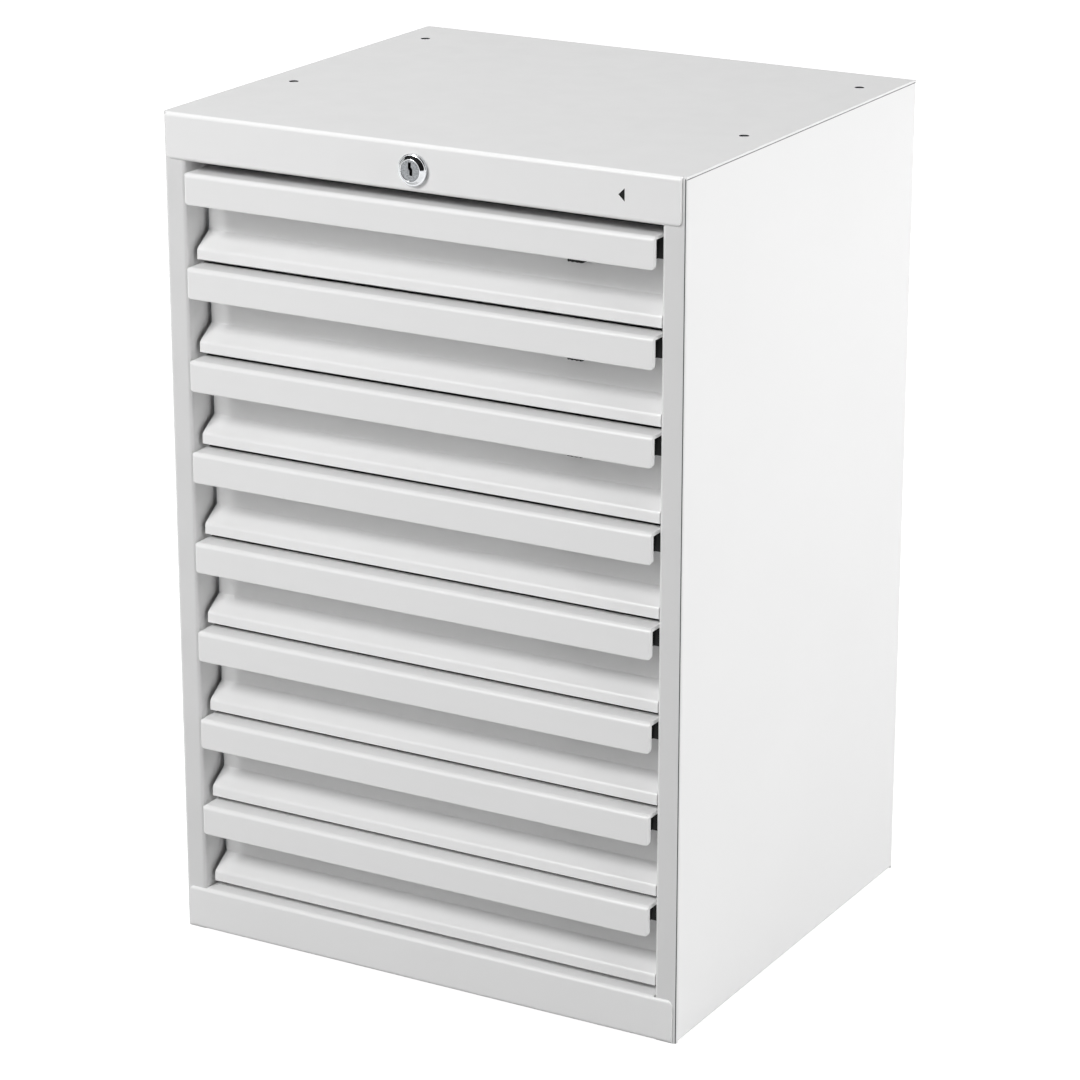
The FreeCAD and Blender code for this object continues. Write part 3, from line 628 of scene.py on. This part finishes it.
def eased(piece, width, segments=2):
    """Eases every hard edge by a small round, as paint, moulding or polishing leaves it."""
    bevel = piece.modifiers.new("eased_edges", "BEVEL")
    bevel.width = width
    bevel.segments = segments
    bevel.limit_method = "ANGLE"
    bevel.angle_limit = FOLD_ANGLE
    bevel.harden_normals = True
    weighted = piece.modifiers.new("even_shading", "WEIGHTED_NORMAL")
    weighted.keep_sharp = True
    return applied(piece)


def stand_for(piece, slot, *nodes):
    """The piece takes the place and the body of CAD nodes, which are hidden; slot is not used."""
    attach(piece, body_of(nodes[0]))
    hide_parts(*nodes)


def finished_copy(node, material, slot, width, trim=None):
    """A finished copy of a CAD node, with joined faces and eased edges, in its place. Trim is a
    function that first takes away what other pieces replace."""
    work = cleaned(node)
    if trim:
        trim(work)
    piece = eased(new_piece(node + "_finish", smoothed(work), [material]), width)
    for face in piece.data.polygons:
        face.material_index = 0
    stand_for(piece, slot, node)


def coated(node, material):
    """A CAD node keeps its shape and takes a finish."""
    mesh = frame["nodes"][node].data
    mesh.materials.clear()
    mesh.materials.append(material)


def keep_largest(work):
    """Keeps the largest joined part of a mesh and drops the small ones."""
    parts = []
    unseen = set(work.verts)
    while unseen:
        start = unseen.pop()
        part = {start}
        edge_of_part = [start]
        while edge_of_part:
            corner = edge_of_part.pop()
            for edge in corner.link_edges:
                other = edge.other_vert(corner)
                if other in unseen:
                    unseen.discard(other)
                    part.add(other)
                    edge_of_part.append(other)
        parts.append(part)
    keep = max(parts, key=len)
    bmesh.ops.delete(work, geom=[v for v in work.verts if v not in keep], context="VERTS")


def band(work, front, back):
    """Faces between two closed loops of as many corners."""
    for here in range(len(front)):
        there = (here + 1) % len(front)
        work.faces.new((front[here], front[there], back[there], back[here]))


def turned(outline, axis_z, segments):
    """A closed (radius, depth) outline turned about the lock's axis, faces outward."""
    work = bmesh.new()
    rings = []
    for step in range(segments):
        angle = 2 * math.pi * step / segments
        rings.append([work.verts.new((r * math.sin(angle), y, axis_z + r * math.cos(angle)))
                      for r, y in outline])
    for here, there in zip(rings, rings[1:] + rings[:1]):
        band(work, here, there)
    bmesh.ops.recalc_face_normals(work, faces=work.faces)
    return work


def node_tree(name, inputs):
    """An empty geometry tree with named inputs; gives the tree, its input and its output node."""
    tree = bpy.data.node_groups.new(name, "GeometryNodeTree")
    tree.interface.new_socket("Geometry", in_out="INPUT", socket_type="NodeSocketGeometry")
    for label, kind in inputs:
        tree.interface.new_socket(label, in_out="INPUT", socket_type=kind)
    tree.interface.new_socket("Geometry", in_out="OUTPUT", socket_type="NodeSocketGeometry")
    return tree, add_node(tree, "NodeGroupInput"), add_node(tree, "NodeGroupOutput")


def close_tree(tree, output, shape):
    """Ends a tree in Realize Instances and Set Material."""
    real = add_node(tree, "GeometryNodeRealizeInstances", {"Geometry": shape})
    given = tree.nodes["Group Input"].outputs["Material"]
    painted = add_node(tree, "GeometryNodeSetMaterial",
                       {"Geometry": real.outputs["Geometry"], "Material": given})
    tree.links.new(painted.outputs["Geometry"], output.inputs["Geometry"])


def combined(tree, **parts):
    """A vector whose named axes are linked outputs."""
    made = add_node(tree, "ShaderNodeCombineXYZ")
    for axis, source in parts.items():
        tree.links.new(source, made.inputs[axis])
    return made.outputs["Vector"]


def ball_row_tree():
    """Each point starts a row of balls that runs back along Y."""
    tree, given, output = node_tree("ball_rows", (
        ("Balls", "NodeSocketInt"), ("Pitch", "NodeSocketFloat"), ("Radius", "NodeSocketFloat"),
        ("Material", "NodeSocketMaterial")))
    step = combined(tree, Y=given.outputs["Pitch"])
    row = add_node(tree, "GeometryNodeMeshLine", {"Count": given.outputs["Balls"], "Offset": step})
    rows = add_node(tree, "GeometryNodeInstanceOnPoints",
                    {"Points": given.outputs["Geometry"], "Instance": row.outputs["Mesh"]})
    places = add_node(tree, "GeometryNodeRealizeInstances", {"Geometry": rows.outputs["Instances"]})
    ball = add_node(tree, "GeometryNodeMeshUVSphere", {"Radius": given.outputs["Radius"]},
                    {"Segments": 10, "Rings": 6})
    balls = add_node(tree, "GeometryNodeInstanceOnPoints",
                     {"Points": places.outputs["Geometry"], "Instance": ball.outputs["Mesh"]})
    smooth = add_node(tree, "GeometryNodeSetShadeSmooth", {"Geometry": balls.outputs["Instances"]})
    close_tree(tree, output, smooth.outputs["Geometry"])
    return tree


def weld_ring_tree():
    """A low ring at each point, lying on a face that looks along Y, as a spot weld leaves it."""
    tree, given, output = node_tree("weld_rings", (
        ("Radius", "NodeSocketFloat"), ("Proud", "NodeSocketFloat"),
        ("Material", "NodeSocketMaterial")))
    path = add_node(tree, "GeometryNodeCurvePrimitiveCircle", {"Radius": given.outputs["Radius"]},
                    {"Resolution": 24})
    tube = add_node(tree, "GeometryNodeCurvePrimitiveCircle", {"Radius": given.outputs["Proud"]},
                    {"Resolution": 6})
    ring = add_node(tree, "GeometryNodeCurveToMesh",
                    {"Curve": path.outputs["Curve"], "Profile Curve": tube.outputs["Curve"]})
    rings = add_node(tree, "GeometryNodeInstanceOnPoints",
                     {"Points": given.outputs["Geometry"], "Instance": ring.outputs["Mesh"]},
                     {"Rotation": FORWARD})
    close_tree(tree, output, rings.outputs["Instances"])
    return tree


def shoulder_screw_tree():
    """A shoulder screw at each point: the shank runs back along Y from it, the head forwards."""
    tree, given, output = node_tree("shoulder_screws", (
        ("Shank Radius", "NodeSocketFloat"), ("Shank Length", "NodeSocketFloat"),
        ("Head Radius", "NodeSocketFloat"), ("Head Height", "NodeSocketFloat"),
        ("Material", "NodeSocketMaterial")))
    length = given.outputs["Shank Length"]
    shank = add_node(tree, "GeometryNodeMeshCylinder",
                     {"Radius": given.outputs["Shank Radius"], "Depth": length}, {"Vertices": 24})
    sunk = arithmetic(tree, "MULTIPLY", length, -0.5)
    lower = add_node(tree, "GeometryNodeTransform",
                     {"Geometry": shank.outputs["Mesh"], "Translation": combined(tree, Z=sunk)})
    crown = arithmetic(tree, "MULTIPLY", given.outputs["Head Radius"], HEAD_TAPER)
    head = add_node(tree, "GeometryNodeMeshCone",
                    {"Radius Bottom": given.outputs["Head Radius"], "Radius Top": crown,
                     "Depth": given.outputs["Head Height"]}, {"Vertices": 24})
    both = add_node(tree, "GeometryNodeJoinGeometry")
    tree.links.new(lower.outputs["Geometry"], both.inputs["Geometry"])
    tree.links.new(head.outputs["Mesh"], both.inputs["Geometry"])
    screws = add_node(tree, "GeometryNodeInstanceOnPoints",
                      {"Points": given.outputs["Geometry"], "Instance": both.outputs["Geometry"]},
                      {"Rotation": FORWARD})
    close_tree(tree, output, screws.outputs["Instances"])
    return tree


def repeated(name, points, tree, values):
    """A plain mesh that a geometry tree makes on points."""
    work = bmesh.new()
    for point in points:
        work.verts.new(point)
    piece = new_piece(name, work, [])
    modifier = piece.modifiers.new(tree.name, "NODES")
    modifier.node_group = tree
    for socket in tree.interface.items_tree:
        if socket.in_out == "INPUT" and socket.name in values:
            modifier[socket.identifier] = values[socket.name]
    piece.update_tag()
    return applied(piece)


class FinishCase(bpy.types.Operator):
    """Paints the case: sides, top with header, kick plate, back, floor and rear uprights"""
    bl_idname = "cabinet.finish_case"
    bl_label = "Finish the case"

    def execute(self, context):
        edge = context.scene.cabinet_sizes.sheet_edge
        for node in CASE_NODES:
            finished_copy(node, case_coat(node), "case_paint", edge)
        return {"FINISHED"}


class MarkWelds(bpy.types.Operator):
    """Leaves the spot welds' rings on the rear flanges"""
    bl_idname = "cabinet.mark_welds"
    bl_label = "Mark the spot welds"

    def execute(self, context):
        sizes = context.scene.cabinet_sizes
        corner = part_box("right_side_panel")[1]
        side = corner.x - WELD_INSET
        points = []
        z = WELD_MARGIN
        while z < corner.z - WELD_MARGIN:
            points += [(side, corner.y, z), (-side, corner.y, z)]
            z += sizes.weld_pitch
        x = -(TOP_WELDS - 1) / 2 * sizes.weld_pitch
        while x < TOP_WELDS / 2 * sizes.weld_pitch:
            points.append((x, corner.y, corner.z - WELD_DROP))
            x += sizes.weld_pitch
        marks = repeated("spot_welds", points, weld_ring_tree(), {
            "Radius": sizes.weld / 2, "Proud": WELD_PROUD, "Material": case_coat()})
        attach(marks, "cabinet")
        return {"FINISHED"}


class FinishDrawers(bpy.types.Operator):
    """Paints the drawers' trays and their fronts, without the plain screws on them"""
    bl_idname = "cabinet.finish_drawers"
    bl_label = "Finish the drawers"

    def execute(self, context):
        edge = context.scene.cabinet_sizes.sheet_edge
        for number in DRAWERS:
            tray = "drawer_{}_tray".format(number)
            front = "drawer_{}_front".format(number)
            finished_copy(tray, drawer_coat(tray), "drawer_paint", edge)
            finished_copy(front, drawer_coat(front), "drawer_paint", edge, keep_largest)
        return {"FINISHED"}


class FitScrews(bpy.types.Operator):
    """Sets the two shoulder screws that each latch slides on"""
    bl_idname = "cabinet.fit_screws"
    bl_label = "Fit the latch screws"

    def execute(self, context):
        sizes = context.scene.cabinet_sizes
        tree = shoulder_screw_tree()
        for number in DRAWERS:
            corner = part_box("latch_{}".format(number))[1]
            points = [(corner.x - offset, corner.y - SCREW_SINK, corner.z - SCREW_DROP)
                      for offset in SCREW_OFFSETS]
            screws = repeated("latch_screws_{}".format(number), points, tree, {
                "Shank Radius": sizes.screw_shank / 2, "Shank Length": SHANK_LENGTH,
                "Head Radius": sizes.screw_head / 2, "Head Height": HEAD_HEIGHT,
                "Material": bright_zinc()})
            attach(screws, "drawer_{}".format(number))
        return {"FINISHED"}


class FinishLatches(bpy.types.Operator):
    """Gives the sliding latches their moulded black finish"""
    bl_idname = "cabinet.finish_latches"
    bl_label = "Finish the latches"

    def execute(self, context):
        edge = context.scene.cabinet_sizes.moulded_edge
        for number in DRAWERS:
            finished_copy("latch_{}".format(number), moulded_nylon(), "latch_black", edge)
        return {"FINISHED"}


class PlateSteel(bpy.types.Operator):
    """Plates the slides, the hooks and the lock's rod, bar, catches, guides, bracket and nut"""
    bl_idname = "cabinet.plate_steel"
    bl_label = "Plate the steel parts"

    def execute(self, context):
        nodes = list(PLATED_NODES)
        for number in DRAWERS:
            nodes += ["drawer_{}_fittings".format(number), "ball_cages_{}".format(number)]
        for node in nodes:
            coated(node, bright_zinc())
        return {"FINISHED"}


class FillCages(bpy.types.Operator):
    """Fills the slides' cages with their rows of balls"""
    bl_idname = "cabinet.fill_cages"
    bl_label = "Fill the ball cages"

    def execute(self, context):
        sizes = context.scene.cabinet_sizes
        tree = ball_row_tree()
        for number in DRAWERS:
            low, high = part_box("ball_cages_{}".format(number))
            x = high.x - BALL_DEPTH
            y = (low.y + high.y - (sizes.balls - 1) * sizes.ball_pitch) / 2
            rows = (low.z + BALL_INSET, high.z - BALL_INSET)
            starts = [(side * x, y, z) for side in (-1, 1) for z in rows]
            balls = repeated("cage_balls_{}".format(number), starts, tree, {
                "Balls": sizes.balls, "Pitch": sizes.ball_pitch, "Radius": sizes.ball / 2,
                "Material": ball_steel()})
            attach(balls, "cages_{}".format(number))
        return {"FINISHED"}


class FinishLock(bpy.types.Operator):
    """Turns the lock's chromed housing and its nickel plug with the keyway"""
    bl_idname = "cabinet.finish_lock"
    bl_label = "Finish the lock"

    def execute(self, context):
        self.turn_housing(context.scene.cabinet_sizes)
        self.turn_plug(context.scene.cabinet_sizes)
        return {"FINISHED"}

    def turn_housing(self, sizes):
        """The ring with its flat rim and cone, and the neck through the header."""
        low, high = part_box("lock_housing")
        ring = high.x
        header = low.y + RING_DEPTH
        lip = LOCK_BORE + LIP_WIDTH
        cone = ring - RIM_WIDTH
        rim = low.y + CONE_SLOPE * (cone - lip)
        outline = [
            (LOCK_BORE, low.y), (lip, low.y), (cone, rim), (ring - RIM_ROUND, rim),
            (ring, rim + RIM_ROUND), (ring, header),
            (LOCK_NECK, header), (LOCK_NECK, high.y), (LOCK_BORE, high.y),
        ]
        work = smoothed(turned(outline, (low.z + high.z) / 2, LOCK_STEPS))
        piece = new_piece("lock_housing_finish", work, [polished_chrome()])
        stand_for(eased(piece, sizes.lock_edge, segments=3), "lock_chrome", "lock_housing")

    def turn_plug(self, sizes):
        """The plug's round face with the keyway through it."""
        low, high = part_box("lock_plug")
        centre = (low.z + high.z) / 2
        radius = high.x
        work = bmesh.new()
        angles = [2 * math.pi * step / LOCK_STEPS for step in range(LOCK_STEPS)]
        rim = [work.verts.new((radius * math.sin(a), low.y, centre + radius * math.cos(a)))
               for a in angles]
        slot = [work.verts.new((x * MM, low.y, centre + z * MM)) for x, z in KEYWAY]
        edges = [work.edges.new((a, b)) for loop in (rim, slot)
                 for a, b in zip(loop, loop[1:] + loop[:1])]
        bmesh.ops.triangle_fill(work, edges=edges, use_beauty=True)
        self.run_back(work, rim, high.y)
        self.run_back(work, slot, low.y + KEYWAY_DEPTH)
        bmesh.ops.recalc_face_normals(work, faces=work.faces)
        bmesh.ops.dissolve_limit(work, angle_limit=FLAT_ANGLE, verts=work.verts, edges=work.edges)
        piece = new_piece("lock_plug_finish", smoothed(work), [brushed_nickel()])
        stand_for(eased(piece, sizes.lock_edge), "lock_chrome", "lock_plug")

    def run_back(self, work, loop, depth):
        """Runs a wall back from a loop and closes it."""
        behind = [work.verts.new((v.co.x, depth, v.co.z)) for v in loop]
        band(work, loop, behind)
        work.faces.new(behind)


class PrintArrow(bpy.types.Operator):
    """Prints the small arrow on the header that points along the latches' travel"""
    bl_idname = "cabinet.print_arrow"
    bl_label = "Print the arrow"

    def execute(self, context):
        height = context.scene.cabinet_sizes.arrow
        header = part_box("top_panel")[0].y
        tip, level = ARROW_TIP
        end = tip + ARROW_LENGTH * height
        corners = [(tip, level), (end, level - height / 2), (end, level + height / 2)]
        work = bmesh.new()
        front, back = [[work.verts.new((x, y, z)) for x, z in corners]
                       for y in (header - PRINT_HALF, header + PRINT_HALF)]
        work.faces.new(front)
        work.faces.new(reversed(back))
        band(work, front, back)
        bmesh.ops.recalc_face_normals(work, faces=work.faces)
        arrow = new_piece("printed_arrow", work, [printed_ink()])
        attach(arrow, "cabinet")
        return {"FINISHED"}


class SetStage(bpy.types.Operator):
    """Sets the pale floor, the soft lights and the camera"""
    bl_idname = "cabinet.set_stage"
    bl_label = "Set the stage"

    def execute(self, context):
        stage = context.scene.cabinet_stage
        self.set_camera(context.scene, stage)
        self.set_world(context.scene, stage)
        half = FLOOR_HALF
        floor = self.card("studio_floor", studio_white(), [
            (-half, -half, 0), (half, -half, 0), (half, half, 0), (-half, half, 0)])
        bottom, top = FLAG_HEIGHTS
        flag = self.card("black_flag", black_flag(), [
            (*FLAG_LEFT, bottom), (*FLAG_RIGHT, bottom), (*FLAG_RIGHT, top), (*FLAG_LEFT, top)])
        flag.visible_camera = False
        flag.visible_diffuse = False
        flag.visible_shadow = False
        self.hang_light("front_softbox", (-1.3, -3.0, 3.3), size=1.3, power=103.0)
        self.hang_light("low_softbox", (-1.0, -2.2, 1.4), size=1.4, power=16.0)
        self.hang_light("right_softbox", (2.8, 0.1, 0.9), size=2.0, power=59.0)
        self.hang_light("top_softbox", (-0.5, 0.4, 2.6), size=1.6, power=21.0)
        self.hang_light("left_softbox", (-2.8, 0.0, 1.0), size=1.8, power=28.0, mirrored=False)
        self.hang_light("rear_softbox", (0.9, 2.8, 1.3), size=1.8, power=38.0, mirrored=False)
        return {"FINISHED"}

    def set_camera(self, scene, stage):
        """The camera stands and looks as in the photograph."""
        data = bpy.data.cameras.new("studio_camera")
        data.lens = stage.lens
        data.sensor_width = SENSOR_WIDTH
        camera = bpy.data.objects.new("studio_camera", data)
        scene.collection.objects.link(camera)
        back = Vector((math.sin(stage.azimuth) * math.cos(stage.elevation),
                       -math.cos(stage.azimuth) * math.cos(stage.elevation),
                       math.sin(stage.elevation)))
        camera.location = stage.camera_place
        camera.rotation_mode = "QUATERNION"
        camera.rotation_quaternion = (-back).to_track_quat("-Z", "Y")
        scene.camera = camera

    def set_world(self, scene, stage):
        """A faint even light, which the camera sees as plain white."""
        world = bpy.data.worlds.new("studio_world")
        scene.world = world
        world.use_nodes = True
        tree = world.node_tree
        tree.nodes.clear()
        even = add_node(tree, "ShaderNodeBackground", None,
                        {"Color": WHITE, "Strength": stage.even_light})
        plain = add_node(tree, "ShaderNodeBackground", None, {"Color": WHITE, "Strength": 1.0})
        camera_ray = add_node(tree, "ShaderNodeLightPath").outputs["Is Camera Ray"]
        mix = add_node(tree, "ShaderNodeMixShader", {"Fac": camera_ray})
        tree.links.new(even.outputs["Background"], mix.inputs[1])
        tree.links.new(plain.outputs["Background"], mix.inputs[2])
        add_node(tree, "ShaderNodeOutputWorld", {"Surface": mix.outputs["Shader"]})

    def card(self, name, material, corners):
        """One flat face of the stage."""
        work = bmesh.new()
        work.faces.new([work.verts.new(corner) for corner in corners])
        return new_piece(name, work, [material])

    def hang_light(self, name, place, size, power, mirrored=True):
        """A square soft light that faces the cabinet. Unless it is mirrored, glossy faces take its
        light but don't show it."""
        data = bpy.data.lights.new(name, "AREA")
        data.shape = "SQUARE"
        data.size = size
        data.energy = power
        lamp = bpy.data.objects.new(name, data)
        bpy.context.scene.collection.objects.link(lamp)
        lamp.location = place
        lamp.rotation_mode = "QUATERNION"
        lamp.rotation_quaternion = (Vector(LIGHT_TARGET) - Vector(place)).to_track_quat("-Z", "Y")
        lamp.visible_glossy = mirrored


GROUPS = (("cabinet_finish", CabinetFinish), ("cabinet_sizes", CabinetSizes),
          ("cabinet_stage", CabinetStage))
OPERATORS = (FinishCase, MarkWelds, FinishDrawers, FitScrews, FinishLatches, PlateSteel, FillCages,
             FinishLock, PrintArrow, SetStage)


class CabinetPanel(bpy.types.Panel):
    """Lists the cabinet's steps and settings"""
    bl_idname = "VIEW3D_PT_cabinet"
    bl_label = "Drawer cabinet"
    bl_space_type = "VIEW_3D"
    bl_region_type = "UI"
    bl_category = "Cabinet"

    def draw(self, context):
        for owner, kind in GROUPS:
            for name in kind.__annotations__:
                self.layout.prop(getattr(context.scene, owner), name)
        for operator in OPERATORS:
            self.layout.operator(operator.bl_idname)


def register():
    """Adds the settings, the steps and the panel."""
    for name, group in GROUPS:
        bpy.utils.register_class(group)
        setattr(bpy.types.Scene, name, PointerProperty(type=group))
    for item in OPERATORS + (CabinetPanel,):
        bpy.utils.register_class(item)


def unregister():
    """Takes away what register adds, last first."""
    for item in reversed(OPERATORS + (CabinetPanel,)):
        bpy.utils.unregister_class(item)
    for name, group in reversed(GROUPS):
        delattr(bpy.types.Scene, name)
        bpy.utils.unregister_class(group)


def main():
    """Runs every step."""
    register()
    bpy.context.scene.view_settings.view_transform = "Standard"
    bpy.ops.cabinet.finish_case()
    bpy.ops.cabinet.mark_welds()
    bpy.ops.cabinet.finish_drawers()
    bpy.ops.cabinet.fit_screws()
    bpy.ops.cabinet.finish_latches()
    bpy.ops.cabinet.plate_steel()
    bpy.ops.cabinet.fill_cages()
    bpy.ops.cabinet.finish_lock()
    bpy.ops.cabinet.print_arrow()
    bpy.ops.cabinet.set_stage()


if __name__ == "__main__":
    main()
